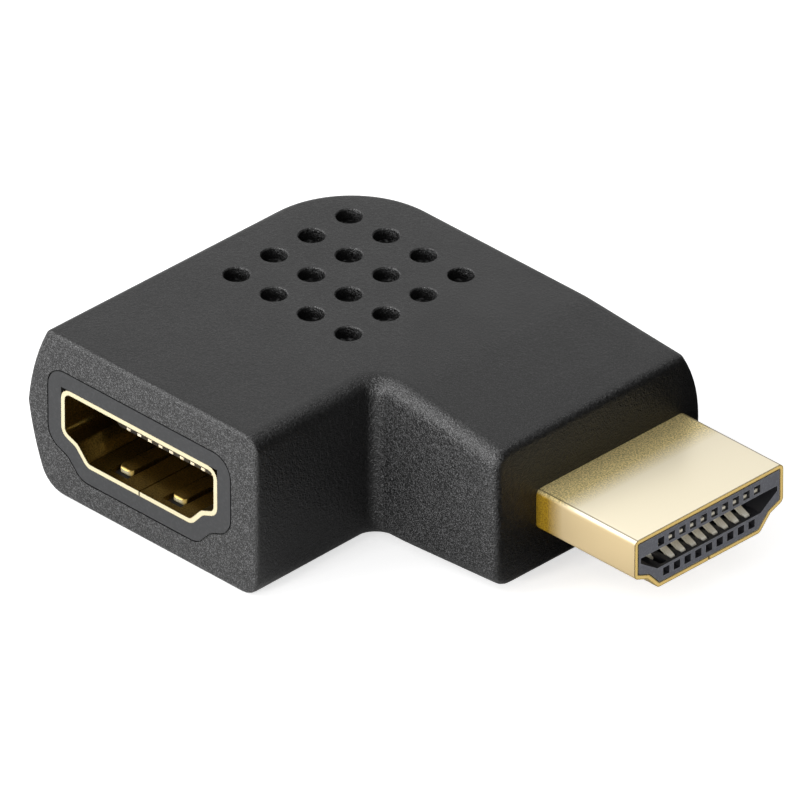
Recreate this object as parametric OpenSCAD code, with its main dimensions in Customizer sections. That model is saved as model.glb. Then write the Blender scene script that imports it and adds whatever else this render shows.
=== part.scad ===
// Right angle adapter for nineteen-way digital video leads.
// A flat moulded housing turns the line through ninety degrees, from a plug on
// one arm to a socket in the end of the other. Sizes are in millimetres.
// The plug points along +X, the socket opens towards -Y and +Z is up. The part
// stands on its flat underside, with the origin under the middle of its box.

/* [Housing] */
// Height of the housing over the elbow and the socket arm
body_h = 12.35; // [12:0.05:15]
// How much wider the socket arm is than its shell, between its top edges
socket_arm_margin = 5.7; // [5.2:0.1:9]
// How far the socket arm reaches past the inside corner
socket_arm_reach = 11.15; // [10.5:0.05:20]
// How much wider the plug arm is than its shell, between its top edges
plug_arm_margin = 3.35; // [2.9:0.05:8]
// How far the plug arm reaches past the inside corner
plug_arm_reach = 11.2; // [10.3:0.05:20]
// Plan radius of the outside corner, at its top edge
corner_r = 6.8; // [4:0.1:10]
// Plan radius of the inside corner
inner_r = 1; // [0.5:0.1:2.5]
// How far the outer walls bow out at mid height
bow = 1.6; // [1.2:0.1:2.5]
// Radius of the outer walls' top edge
edge_r = 0.65; // [0.65:0.05:1.6]
// Radius of the inner walls' top edge
inner_edge_r = 1.3; // [0.65:0.05:2]
// Radius of the outer walls' bottom edge
outer_foot_r = 2.3; // [1:0.1:2.8]
// Radius of the inner walls' bottom edge
inner_foot_r = 1.5; // [1:0.1:2.5]
// Radius round the socket's end face
socket_end_r = 0.35; // [0.2:0.05:0.7]
// Radius round the plug's end face
plug_end_r = 0.6; // [0.3:0.05:0.6]

/* [Housing draft] */
// How far the socket arm's inner wall flares out at its end
socket_flare = 0.15; // [0:0.05:1.5]
// How far the middle of the socket arm's outer wall swells out at its end
socket_lip_flare = 0.35; // [0:0.05:0.6]
// Length over which that swell fades
lip_flare_len = 4.5; // [2:0.1:8]
// Drop of the plug arm's top towards the plug
top_taper = 1.15; // [0:0.05:1.3]
// Rise of the plug arm's underside towards the plug
bottom_taper = 0.6; // [0:0.05:0.8]
// How far the plug arm's outer wall flares out towards the plug
plug_flare = 0.45; // [0:0.05:0.8]

/* [Dimples in the top] */
// Dimples along each side of the square grid
dimple_rows = 4; // [2:1:5]
// Spacing of the dimples, both ways
dimple_pitch = 3.5; // [2.6:0.1:3.6]
// Diameter of a dimple
dimple_d = 1.8; // [1:0.1:2.2]
// Depth of a dimple
dimple_depth = 0.85; // [0.4:0.05:1.6]
// Width of the chamfer round a dimple's rim
dimple_edge = 0.08; // [0.04:0.01:0.15]
// Distance of the first dimples from the socket arm's outer top edge
dimple_side_inset = 3.9; // [3:0.05:4.5]
// Distance of the first dimples from the plug arm's outer top edge
dimple_back_inset = 4.1; // [3:0.05:4.5]

/* [Connector outline] */
// Width of the plug's shell over its upper part
shell_w = 13.9; // [13.5:0.05:14.3]
// Height of the plug's shell
shell_h = 4.45; // [4.3:0.05:4.8]
// Height of the shell's upright sides
side_h = 2.9; // [2.6:0.05:3.1]
// Width of the shallow shoulder under each side
shoulder_in = 1.18; // [0.9:0.02:1.4]
// Fall of the shallow shoulder
shoulder_down = 0.45; // [0.3:0.05:0.7]
// Width of the slant between a shoulder and the bottom
slant_in = 1; // [0.7:0.05:1.3]
// Outer corner radius of the plug's shell
shell_r = 0.4; // [0.35:0.05:0.6]
// Outer corner radius of the socket's shell
socket_shell_r = 0.85; // [0.5:0.05:1]
// Clearance all round between a plug's shell and a socket's shell
mate_gap = 0.05; // [0.03:0.01:0.1]
// Width of the seam where each folded shell closes
seam_gap = 0.08; // [0.04:0.02:0.15]

/* [Contacts] */
// Contacts in the upper row of each connector
upper_count = 10; // [4:1:10]
// Room beside the upper row, out to the sides of the plug's shell
row_margin = 1.95; // [1.75:0.05:2.4]
// Width of a plug's contact
plug_contact_w = 0.46; // [0.3:0.02:0.5]
// Gap between neighbouring contacts of the socket's two rows
row_gap = 0.16; // [0.1:0.02:0.25]
// Thickness of a contact
contact_t = 0.2; // [0.15:0.01:0.25]
// Side clearance between a contact and its groove
contact_gap = 0.07; // [0.02:0.01:0.08]
// Length of a contact's soldered foot on the board
foot_len = 1.2; // [0.8:0.1:1.6]
// How far the end contact of each row is set back, so that it mates last
late_setback = 1.2; // [0.6:0.1:1.5]

/* [Plug] */
// How far the plug's shell reaches past the housing's outer top edge, into
// the bow of the wall
plug_overhang = 0.4; // [0:0.05:0.55]
// Height of the plug's middle over the underside
plug_lift = 4.72; // [4.5:0.02:5.1]
// How far the plug stands out of the housing
plug_reach = 9.1; // [8.6:0.1:12]
// Wall of the plug's shell
plug_wall = 0.3; // [0.2:0.02:0.35]
// Length of the plug's shell inside the housing
plug_root = 7.2; // [6:0.1:8]
// Height of the slot that takes a socket's tongue
slot_h = 1.45; // [1.3:0.05:1.5]
// Distance of that slot's ends from the sides of the shell
slot_margin = 0.55; // [0.5:0.05:0.85]
// Distance of the ends of its floor from the sides of the shell
slot_floor_margin = 2.1; // [2:0.05:2.2]
// Height of the slot's upright ends
slot_end_h = 0.4; // [0.2:0.05:0.6]
// Depth of that slot
slot_depth = 7.4; // [7.2:0.1:8.5]
// Height of the window in front of each contact
window_h = 0.62; // [0.5:0.02:0.64]
// Thickness of the bar between a window and the slot
bar_t = 0.2; // [0.15:0.01:0.22]
// Depth of that bar
bar_depth = 0.25; // [0.25:0.05:1]
// How far behind the face a contact's tip lies
tip_setback = 0.22; // [0.1:0.02:0.3]
// How far a contact's crest reaches into the slot
crest_rise = 0.42; // [0.15:0.01:0.45]
// Slope of the ramp up to that crest, in degrees
crest_slope = 24; // [18:1:30]
// Gap between the shell and the insulator, round the plug's face
face_gap = 0.06; // [0.03:0.01:0.08]
// Depth of that gap
face_gap_depth = 0.4; // [0.2:0.1:1]

/* [Socket] */
// How far the shell's outline lies inside the housing's outer top edge
socket_margin = 1.75; // [1.55:0.05:2.55]
// Height of the socket's middle over the underside
socket_lift = 5.9; // [5.7:0.02:6.3]
// Wall of the socket's shell
socket_wall = 0.35; // [0.25:0.05:0.4]
// Depth of the socket behind a plug's front
socket_spare_depth = 0.2; // [0.1:0.05:0.5]
// Thickness of the insulator's base, behind the tongue
base_t = 2.6; // [2:0.1:3]
// How far the tongue's front lies behind the socket's face
tongue_setback = 2.95; // [2.6:0.05:3.4]
// Distance of the tongue's sides from the sides of a plug's shell
tongue_margin = 1.15; // [0.95:0.05:1.45]
// Clearance between the tongue and a plug's slot
tongue_gap = 0.1; // [0.06:0.01:0.14]
// Distance of each spring finger from the socket's middle
finger_x = 2.5; // [2.2:0.1:3.2]
// Width of a spring finger
finger_w = 1.25; // [1:0.05:1.5]
// Radius of the two corners of a finger's tip
finger_tip_r = 0.45; // [0.2:0.05:0.5]
// Width of the cut on each side of a finger
finger_cut = 0.2; // [0.15:0.01:0.25]
// How far a finger's tip lies behind the socket's face
finger_setback = 1.1; // [0.9:0.05:1.4]
// How far the cut in front of a finger reaches beyond its tip
finger_front_cut = 0.55; // [0.3:0.05:0.7]
// Length of a finger
finger_len = 6; // [5:0.1:7]
// How far a finger's crest stands inside the shell
finger_rise = 0.21; // [0.1:0.01:0.22]

/* [Inner moulding] */
// Width of the smooth frame that shows round the socket
frame_w = 1.2; // [1:0.05:1.4]
// Corner radius of that frame
frame_r = 1.5; // [0.8:0.1:1.6]
// Width of the fine groove between that frame and the housing
frame_gap = 0.1; // [0.05:0.01:0.15]
// Depth of that groove
frame_gap_depth = 0.15; // [0.1:0.05:0.3]
// Wall of the inner moulding round the plug's shell
premould_wall = 0.45; // [0.3:0.05:0.8]
// Thickness of the housing's end wall, in front of the inner moulding
end_wall = 2.5; // [1.5:0.1:3]

/* [Circuit board] */
// Thickness of the board
board_t = 1; // [0.8:0.1:1.2]
// Radius of the board's outside corner
board_r = 5; // [3:0.5:7]
// Gap between the socket's base and the board's edge
board_gap = 0.9; // [0.8:0.05:1.2]
// Length of the shell's tabs along the board's edges
tab_overlap = 1; // [0.6:0.05:1]
// Height of those tabs
tab_h = 1.8; // [1.2:0.1:2.4]

/* [Hidden] */
// Smoothness of the housing: steps round a long edge, down a bowed wall,
// round the elbow, round an end face and along the tapered plug arm
edge_steps = 6;
bow_steps = 14;
elbow_steps = 22;
end_steps = 5;
arm_steps = 8;
// Steps round a small corner, and round a bend in a contact
corner_steps = 4;
bend_steps = 3;
// Overlap that keeps a cut clear of the face it leaves through
cut = 0.5;

lower_count = upper_count - 1;
pitch = (shell_w - 2 * row_margin) / upper_count;
socket_contact_w = pitch / 2 - row_gap;
row_names = ["upper", "lower"];
row_counts = [upper_count, lower_count];
row_sides = [1, -1];

socket_arm_w = shell_w + socket_arm_margin;
plug_arm_w = shell_w + plug_arm_margin;
socket_arm_len = plug_arm_w + socket_arm_reach;
plug_arm_len = socket_arm_w + plug_arm_reach;
socket_inset = shell_w / 2 + socket_margin;
plug_y = plug_overhang - shell_w / 2;
slot_w = shell_w - 2 * slot_margin;
slot_floor_w = shell_w - 2 * slot_floor_margin;
tongue_w = shell_w - 2 * tongue_margin;
plug_front = plug_arm_len + plug_reach;
plug_rear = plug_arm_len - plug_root;
socket_front = -socket_arm_len;
socket_depth = plug_reach + socket_spare_depth;
socket_rear = socket_front + socket_depth + base_t;
premould_end = plug_arm_len - end_wall;

// The board lies level with the plug's middle, and the socket's contacts come
// down to its top
board_z = plug_lift;
board_top = board_z + board_t / 2;
board_half_plug = shell_w / 2 - plug_wall;
board_half_socket = shell_w / 2 + mate_gap;
board_edge = socket_rear + board_gap;
board_inner_y = plug_y - board_half_plug;

// Pockets round the soldered feet end this far past them
foot_room = 0.3;
// Length of the sloping part of a contact between its base and its foot
foot_slope = 0.9;

function contact_name(end, row, i) = str(end, "_", row_names[row], "_contact_", i);

// Place of contact i of a row, across its connector
function contact_u(row, i) = (i - (row_counts[row] + 1) / 2) * pitch;

// Plain geometry

function unit(v) = v / norm(v);

function arc(centre, r, from, to, steps) =
    [for (k = [0 : steps])
        let (a = from + (to - from) * k / steps)
        [centre[0] + r * cos(a), centre[1] + r * sin(a)]];

// The arc that rounds corner p, between neighbours a and b
function corner_arc(a, p, b, r, steps) =
    let (u = unit(a - p), v = unit(b - p),
         half = acos(max(-1, min(1, u * v))) / 2,
         reach = r / tan(half),
         centre = p + unit(u + v) * r / sin(half),
         s = p + u * reach - centre,
         e = p + v * reach - centre,
         from = atan2(s[1], s[0]),
         turn = atan2(e[1], e[0]) - from,
         sweep = turn > 180 ? turn - 360 : turn < -180 ? turn + 360 : turn)
    arc(centre, r, from, from + sweep, steps);

// A closed outline with every corner rounded, but for those named in sharp
function rounded(points, r, steps = corner_steps, sharp = []) =
    let (n = len(points))
    [for (i = [0 : n - 1])
        each len(search(i, sharp)) > 0
            ? [points[i]]
            : corner_arc(points[(i + n - 1) % n], points[i], points[(i + 1) % n], r, steps)];

// An open line with its inner corners rounded
function bent(points, r) =
    [points[0],
     for (i = [1 : len(points) - 2])
         each corner_arc(points[i - 1], points[i], points[i + 1], r, bend_steps),
     points[len(points) - 1]];

// A closed outline, drawn anticlockwise, moved out by d all round
function outset(points, d) =
    let (n = len(points))
    [for (i = [0 : n - 1])
        let (e1 = unit(points[i] - points[(i + n - 1) % n]),
             e2 = unit(points[(i + 1) % n] - points[i]),
             n1 = [e1[1], -e1[0]],
             n2 = [e2[1], -e2[0]])
        points[i] + (n1 + n2) * d / (1 + n1 * n2)];

// The line that runs beside an open line, d to its right
function beside(points, d) =
    let (n = len(points))
    [for (i = [0 : n - 1])
        let (e1 = unit(points[max(i, 1)] - points[max(i, 1) - 1]),
             e2 = unit(points[min(i, n - 2) + 1] - points[min(i, n - 2)]),
             n1 = [e1[1], -e1[0]],
             n2 = [e2[1], -e2[0]])
        points[i] + (n1 + n2) * d / (1 + n1 * n2)];

function reversed(points) = [for (i = [len(points) - 1 : -1 : 0]) points[i]];

// The edge view of a strip of metal of thickness t along an open line
function strip(points, t) = concat(beside(points, t / 2), reversed(beside(points, -t / 2)));

// An outline across the plug, drawn along +X from one place to another
module along_x(from, to, y = 0, z = 0) {
    translate([from, y, z]) rotate([90, 0, 90]) linear_extrude(to - from) children();
}

// An outline across the socket, drawn along +Y from one place to another
module along_y(from, to, x = 0, z = 0) {
    translate([x, to, z]) rotate([90, 0, 0]) linear_extrude(to - from) children();
}

// Connector outlines, about their own middle, anticlockwise from the bottom's
// left end. Points 4 and 5 are the two top corners

shell_outline =
    let (shoulder_z = shell_h / 2 - side_h,
         shoulder_x = shell_w / 2 - shoulder_in,
         bottom_x = shoulder_x - slant_in)
    [[-bottom_x, -shell_h / 2], [bottom_x, -shell_h / 2],
     [shoulder_x, shoulder_z - shoulder_down], [shell_w / 2, shoulder_z],
     [shell_w / 2, shell_h / 2], [-shell_w / 2, shell_h / 2],
     [-shell_w / 2, shoulder_z], [-shoulder_x, shoulder_z - shoulder_down]];

plug_outer = rounded(shell_outline, shell_r);
plug_inner = rounded(outset(shell_outline, -plug_wall), shell_r - plug_wall);
plug_face = rounded(outset(shell_outline, -plug_wall - face_gap), shell_r - plug_wall);
socket_inner = rounded(outset(shell_outline, mate_gap), socket_shell_r - socket_wall);
socket_sharp = outset(shell_outline, mate_gap + socket_wall);
socket_outer = rounded(socket_sharp, socket_shell_r);
socket_opening = rounded(socket_sharp, socket_shell_r, corner_steps, [4, 5]);
frame_outline = rounded(outset(socket_sharp, frame_w), frame_r, 2 * corner_steps);
frame_gap_outline =
    rounded(outset(socket_sharp, frame_w + frame_gap), frame_r + frame_gap, 2 * corner_steps);
premould_outline = rounded(outset(shell_outline, premould_wall), shell_r + premould_wall);

// The slot in the plug, and the tongue that would fit it
slot_fall = (slot_w - slot_floor_w) / 2 / (slot_h - slot_end_h);
slot_outline =
    [[-slot_floor_w / 2, -slot_h / 2], [slot_floor_w / 2, -slot_h / 2],
     [slot_w / 2, slot_h / 2 - slot_end_h], [slot_w / 2, slot_h / 2],
     [-slot_w / 2, slot_h / 2], [-slot_w / 2, slot_h / 2 - slot_end_h]];
tongue_t = slot_h - 2 * tongue_gap;
tongue_slant_gap = tongue_gap * sqrt(1 + slot_fall * slot_fall);
tongue_bottom_x = slot_floor_w / 2 + tongue_gap * slot_fall - tongue_slant_gap;
tongue_corner_z = -tongue_t / 2 + (tongue_w / 2 - tongue_bottom_x) / slot_fall;
tongue_outline =
    [[-tongue_bottom_x, -tongue_t / 2], [tongue_bottom_x, -tongue_t / 2],
     [tongue_w / 2, tongue_corner_z], [tongue_w / 2, tongue_t / 2],
     [-tongue_w / 2, tongue_t / 2], [-tongue_w / 2, tongue_corner_z]];

// Housing: one closed skin, drawn through stations that follow both walls
// round the elbow. A station is [outer point, inner point, heading, bottom,
// top, inset, swell], where the heading is the way the outer wall faces.

// A rise from 0 to 1 that starts gently and then runs straight
function gentle(s) =
    let (lead = 0.2)
    (s < lead ? s * s / (2 * lead) : s - lead / 2) / (1 - lead / 2);

taper_start = socket_arm_w + inner_r;
taper_len = plug_arm_len - taper_start;
flare_start = -plug_arm_w - inner_r;

function taper_at(x) = gentle(max(0, x - taper_start) / taper_len);
function lip_at(y) =
    socket_lip_flare * pow(max(0, 1 - (y - socket_front) / lip_flare_len), 2);
function flare_at(y) = socket_flare * (flare_start - y) / (flare_start - socket_front);

function socket_station(y, inset) =
    [[0, y], [socket_arm_w + flare_at(y), y], 180, 0, body_h, inset, lip_at(y)];

function plug_station(x, inset) =
    let (s = taper_at(x))
    [[x, plug_flare * s], [x, -plug_arm_w], 90, bottom_taper * s,
     body_h - top_taper * s, inset, 0];

function elbow_station(a) =
    [[corner_r + corner_r * cos(a), -corner_r + corner_r * sin(a)],
     [taper_start + inner_r * cos(a), flare_start + inner_r * sin(a)],
     a, 0, body_h, 0, 0];

// Middle of the whole part's box, which the origin stands under
middle_x = (plug_front - bow - lip_at(socket_front + socket_end_r)) / 2;
middle_y = (bow + plug_flare * taper_at(plug_arm_len - plug_end_r) - socket_arm_len) / 2;

stations = concat(
    [for (k = [end_steps : -1 : 0])
        let (a = 90 * k / end_steps)
        socket_station(socket_front + socket_end_r * (1 - sin(a)), socket_end_r * (1 - cos(a)))],
    [for (k = [1 : end_steps])
        socket_station(socket_front + socket_end_r
                       + (lip_flare_len - socket_end_r) * k / end_steps, 0)],
    [for (k = [0 : elbow_steps]) elbow_station(180 - 90 * k / elbow_steps)],
    [for (k = [1 : arm_steps])
        plug_station(taper_start + (taper_len - plug_end_r) * k / arm_steps, 0)],
    [for (k = [1 : end_steps])
        let (a = 90 * k / end_steps)
        plug_station(plug_arm_len - plug_end_r * (1 - sin(a)), plug_end_r * (1 - cos(a)))]
);

// One station's ring of points, each [distance out of the wall, height, is it
// on the outer wall], from the inner wall's bottom edge over the top and down
function ring(bottom, top, inset, swell) =
    let (mid = (top + bottom) / 2,
         half = (top - bottom) / 2,
         bow_r = (half * half + bow * bow) / (2 * bow),
         bow_x = bow - bow_r,
         edge_z = half - edge_r,
         edge_x = bow_x + sqrt(pow(bow_r - edge_r, 2) - edge_z * edge_z),
         edge_lean = atan2(edge_z, edge_x - bow_x),
         foot_z = half - outer_foot_r,
         foot_x = bow_x + sqrt(pow(bow_r - outer_foot_r, 2) - foot_z * foot_z),
         foot_lean = -atan2(foot_z, foot_x - bow_x))
    concat(
        [for (p = arc([-inner_foot_r, bottom + inner_foot_r], inner_foot_r - inset,
                      -90, 0, edge_steps))
            [p[0], p[1], 0]],
        [for (p = arc([-inner_edge_r, top - inner_edge_r], inner_edge_r - inset,
                      0, 90, edge_steps))
            [p[0], p[1], 0]],
        [for (p = arc([edge_x, mid + edge_z], edge_r - inset, 90, edge_lean, edge_steps))
            [p[0], p[1], 1]],
        [for (k = [1 : bow_steps - 1])
            let (s = 2 * k / bow_steps - 1, a = s < 0 ? -s * edge_lean : s * foot_lean)
            [bow_x + (bow_r - inset) * cos(a) + swell * pow(1 - abs(s), 2),
             mid + (bow_r - inset) * sin(a), 1]],
        [for (p = arc([foot_x, mid - foot_z], outer_foot_r - inset, foot_lean, -90, edge_steps))
            [p[0], p[1], 1]]
    );

function station_points(s) =
    let (out = [cos(s[2]), sin(s[2])])
    [for (p = ring(s[3], s[4], s[5], s[6]))
        let (at = p[2] == 1 ? s[0] + out * p[0] : s[1] - out * p[0])
        [at[0], at[1], p[1]]];

module housing_skin() {
    points = [for (s = stations) each station_points(s)];
    m = len(points) / len(stations);
    last = len(points) - m;
    sides = [for (j = [0 : len(stations) - 2], i = [0 : m - 1])
        let (a = j * m + i, b = j * m + (i + 1) % m)
        each [[a, a + m, b], [b, a + m, b + m]]];
    ends = [for (i = [1 : m - 2])
        each [[0, i, i + 1], [last, last + i + 1, last + i]]];
    polyhedron(points, concat(sides, ends), convexity = 4);
}

module dimples() {
    for (i = [0 : dimple_rows - 1], j = [0 : dimple_rows - 1])
        translate([dimple_side_inset + i * dimple_pitch, -dimple_back_inset - j * dimple_pitch,
                   body_h]) {
            translate([0, 0, -dimple_depth])
                cylinder(d = dimple_d, h = dimple_depth + cut, $fn = 32);
            translate([0, 0, -dimple_edge])
                cylinder(d1 = dimple_d, d2 = dimple_d + 2 * (dimple_edge + cut),
                         h = dimple_edge + cut, $fn = 32);
        }
}

// The inner moulding's outside, which the housing is moulded round: one branch
// behind each connector, with the outside corner rounded in plan
module premould_form() {
    socket_left = socket_inset - shell_w / 2 - mate_gap - socket_wall - frame_w;
    plug_back = plug_y + shell_w / 2 + premould_wall;
    round_r = corner_r - socket_left;
    intersection() {
        union() {
            along_y(socket_front, plug_back, socket_inset, socket_lift) polygon(frame_outline);
            along_x(socket_left, premould_end, plug_y, plug_lift) polygon(premould_outline);
        }
        difference() {
            translate([socket_left - cut, socket_front, 0])
                cube([premould_end - socket_left + cut, plug_back - socket_front + cut, body_h]);
            translate([socket_left - cut, plug_back - round_r, -cut])
                difference() {
                    cube([round_r + cut, round_r + cut, body_h + 2 * cut]);
                    translate([round_r + cut, 0, -cut])
                        cylinder(r = round_r, h = body_h + 4 * cut, $fn = 96);
                }
        }
    }
}

module overmould() {
    color([0.16, 0.16, 0.17])
    difference() {
        housing_skin();
        premould_form();
        along_x(premould_end - cut, plug_arm_len + cut, plug_y, plug_lift) polygon(plug_outer);
        along_y(socket_front - cut, socket_front + frame_gap_depth, socket_inset, socket_lift)
            polygon(frame_gap_outline);
        dimples();
    }
}

// The board, with its outside corner rounded
module board_plan() {
    left = socket_inset - board_half_socket;
    right = socket_inset + board_half_socket;
    back = plug_y + board_half_plug;
    polygon(concat(
        [[left, board_edge], [right, board_edge], [right, board_inner_y],
         [plug_rear, board_inner_y], [plug_rear, back]],
        arc([left + board_r, back - board_r], board_r, 90, 180, 2 * corner_steps)));
}

module circuit_board() {
    color([0.05, 0.32, 0.16])
    translate([0, 0, board_z - board_t / 2]) linear_extrude(board_t) board_plan();
}

// The inner moulding holds both shells and the board, with room round the feet
module premould() {
    color([0.24, 0.25, 0.26])
    difference() {
        premould_form();
        along_y(socket_front - cut, board_edge + foot_len + foot_room, socket_inset, socket_lift)
            polygon(socket_opening);
        along_x(plug_rear - foot_slope - foot_len - foot_room, premould_end + cut,
                plug_y, plug_lift)
            polygon(plug_outer);
        circuit_board();
        socket_tabs();
    }
}

module plug_shell() {
    color([0.86, 0.74, 0.42])
    difference() {
        along_x(plug_rear, plug_front, plug_y, plug_lift) polygon(plug_outer);
        along_x(plug_rear - cut, plug_front + cut, plug_y, plug_lift) polygon(plug_inner);
        translate([plug_rear - cut, plug_y - seam_gap / 2, plug_lift - shell_h / 2 - cut])
            cube([plug_front - plug_rear + 2 * cut, seam_gap, plug_wall + 2 * cut]);
    }
}

// Grooves for one row of plug contacts. Each starts in a window in the face,
// with a bar between it and the slot, and runs out through the back
module plug_grooves(row) {
    side = row_sides[row];
    groove_w = plug_contact_w + 2 * contact_gap;
    window_z = slot_h / 2 + bar_t;
    for (i = [1 : row_counts[row]])
        translate([plug_rear - cut, plug_y + contact_u(row, i) - groove_w / 2, plug_lift]) {
            translate([0, 0, side > 0 ? window_z : -window_z - window_h])
                cube([plug_front - plug_rear + 2 * cut, groove_w, window_h]);
            translate([cut + plug_root + plug_reach - slot_depth, 0,
                       side > 0 ? 0 : -window_z - window_h / 2])
                cube([slot_depth - bar_depth, groove_w, window_z + window_h / 2]);
        }
}

module plug_insulator() {
    color([0.25, 0.25, 0.28])
    difference() {
        union() {
            along_x(plug_rear, plug_front - face_gap_depth, plug_y, plug_lift)
                polygon(plug_inner);
            along_x(plug_rear, plug_front, plug_y, plug_lift) polygon(plug_face);
        }
        along_x(plug_front - slot_depth, plug_front + cut, plug_y, plug_lift)
            polygon(slot_outline);
        for (row = [0, 1]) plug_grooves(row);
    }
}

// Edge view of an upper plug contact, seen from its side, about the plug's
// middle: from the tip on its bar, round the bar's back, over the crest and
// back to the board
function plug_contact_line(setback) =
    let (bar_z = slot_h / 2 + bar_t + contact_t / 2,
         rise_z = bar_z - bar_t,
         crest_z = rise_z - crest_rise,
         groove_z = slot_h / 2 + bar_t + window_h - contact_t / 2,
         foot_z = (board_t + contact_t) / 2,
         tip_x = plug_front - tip_setback - setback,
         bar_x = plug_front - bar_depth - contact_gap - contact_t / 2 - setback,
         rise_x = bar_x - bar_t / 2,
         crest_x = rise_x - crest_rise / tan(crest_slope))
    bent([[tip_x, bar_z], [bar_x, bar_z], [rise_x, rise_z], [crest_x, crest_z],
          [crest_x - plug_contact_w, crest_z], [plug_front - slot_depth, groove_z],
          [plug_rear, groove_z], [plug_rear - foot_slope, foot_z],
          [plug_rear - foot_slope - foot_len, foot_z]], contact_t);

module plug_contact(row, i) {
    side = row_sides[row];
    line = plug_contact_line(i == 1 ? late_setback : 0);
    color([0.9, 0.82, 0.55])
    translate([0, plug_y + contact_u(row, i) + plug_contact_w / 2, plug_lift])
        rotate([90, 0, 0]) linear_extrude(plug_contact_w)
            polygon([for (p = strip(line, contact_t)) [p[0], side * p[1]]]);
}

// One spring finger of the socket's shell, seen from its side, with the face
// at 0 and the shell's wall hanging down from 0: it leaves the wall at its
// root, rises to a crest and curls back at its tip
function finger_line() =
    let (root = finger_setback + finger_len,
         flat = -socket_wall / 2,
         curl = 1.2 * finger_rise)
    bent([[root + socket_wall, flat], [root, flat],
          [finger_setback + curl + 2 * socket_wall, flat + finger_rise],
          [finger_setback + curl, flat + finger_rise],
          [finger_setback, flat]], socket_wall);

module finger_window(x) {
    translate([x - finger_w / 2 - finger_cut, finger_setback - finger_front_cut,
               -socket_wall - cut])
        cube([finger_w + 2 * finger_cut, finger_len + finger_front_cut,
              socket_wall + cut + finger_rise]);
}

// A finger with the two corners of its tip rounded
module finger(x) {
    left = x - finger_w / 2;
    right = x + finger_w / 2;
    root = finger_setback + finger_len + 2 * socket_wall;
    intersection() {
        translate([left, 0, 0]) rotate([90, 0, 90])
            linear_extrude(finger_w) polygon(strip(finger_line(), socket_wall));
        translate([0, 0, -2 * socket_wall]) linear_extrude(finger_rise + 4 * socket_wall)
            polygon(rounded([[left, finger_setback], [right, finger_setback],
                             [right, root], [left, root]], finger_tip_r, corner_steps, [2, 3]));
    }
}

// Puts what stands on the inside of the socket's bottom wall in place there,
// and again on the inside of its top wall
module both_walls() {
    inside = shell_h / 2 + mate_gap;
    translate([socket_inset, socket_front, socket_lift]) {
        translate([0, 0, -inside]) children();
        translate([0, 0, inside]) mirror([0, 0, 1]) children();
    }
}

// Tabs that run back from the socket's shell, down the board's edges
module socket_tabs() {
    for (x = [-board_half_socket - socket_wall, board_half_socket])
        translate([socket_inset + x, socket_rear - socket_wall, board_z - board_t / 2])
            cube([socket_wall, socket_wall + board_gap + tab_overlap, tab_h]);
}

module socket_shell() {
    color([0.92, 0.82, 0.5])
    union() {
        difference() {
            along_y(socket_front, socket_rear, socket_inset, socket_lift) polygon(socket_outer);
            along_y(socket_front - cut, socket_rear + cut, socket_inset, socket_lift)
                polygon(socket_inner);
            both_walls() for (x = [-finger_x, finger_x]) finger_window(x);
            translate([socket_inset - seam_gap / 2, socket_front - cut,
                       socket_lift - shell_h / 2 - mate_gap - socket_wall - cut])
                cube([seam_gap, socket_rear - socket_front + 2 * cut, socket_wall + 2 * cut]);
        }
        both_walls() for (x = [-finger_x, finger_x]) finger(x);
        socket_tabs();
    }
}

// Height of the middle of a row of socket contacts, from the socket's middle
tongue_contact_z = (tongue_t - contact_t) / 2;

module socket_grooves(row) {
    side = row_sides[row];
    groove_w = socket_contact_w + 2 * contact_gap;
    for (i = [1 : row_counts[row]])
        translate([socket_inset + contact_u(row, i) - groove_w / 2, socket_front,
                   socket_lift + side * tongue_contact_z - contact_t / 2])
            cube([groove_w, socket_depth + base_t + cut, contact_t]);
}

module socket_insulator() {
    color([0.13, 0.13, 0.14])
    difference() {
        union() {
            along_y(socket_front + socket_depth, socket_rear, socket_inset, socket_lift)
                polygon(socket_inner);
            along_y(socket_front + tongue_setback, socket_rear, socket_inset, socket_lift)
                polygon(tongue_outline);
        }
        for (row = [0, 1]) socket_grooves(row);
    }
}

// Edge view of a socket contact, about the socket's middle: along the tongue,
// out through the base and onto the board's top
function socket_contact_line(side) =
    let (tongue_z = side * tongue_contact_z,
         foot_z = board_top + contact_t / 2 - socket_lift)
    bent([[socket_front + tongue_setback, tongue_z], [socket_rear + contact_t, tongue_z],
          [board_edge - contact_t / 2, foot_z],
          [board_edge + foot_len, foot_z]], contact_t);

module socket_contact(row, i) {
    color([0.9, 0.82, 0.55])
    translate([socket_inset + contact_u(row, i) - socket_contact_w / 2, 0, socket_lift])
        rotate([90, 0, 90]) linear_extrude(socket_contact_w)
            polygon(strip(socket_contact_line(row_sides[row]), contact_t));
}

// Everything stands in the part's own frame
module placed() {
    translate([-middle_x, -middle_y, 0]) children();
}

placed() overmould();
placed() premould();
placed() socket_shell();
placed() socket_insulator();
placed() plug_shell();
placed() plug_insulator();
placed() circuit_board();
for (row = [0, 1], i = [1 : row_counts[row]]) {
    placed() plug_contact(row, i);
    placed() socket_contact(row, i);
}
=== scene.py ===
"""Looks of a right angle adapter for nineteen-way digital video leads.

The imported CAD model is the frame. Its solids keep their shapes, are shaded smooth between their sharp edges
and are dressed in procedural finishes. A pale floor, soft studio light and a camera at the photograph's angle
complete the scene. Lengths are in metres, in the part's own frame.
"""
from __future__ import annotations

import logging
import math
from dataclasses import dataclass, replace
from enum import Enum
from functools import reduce

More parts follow.
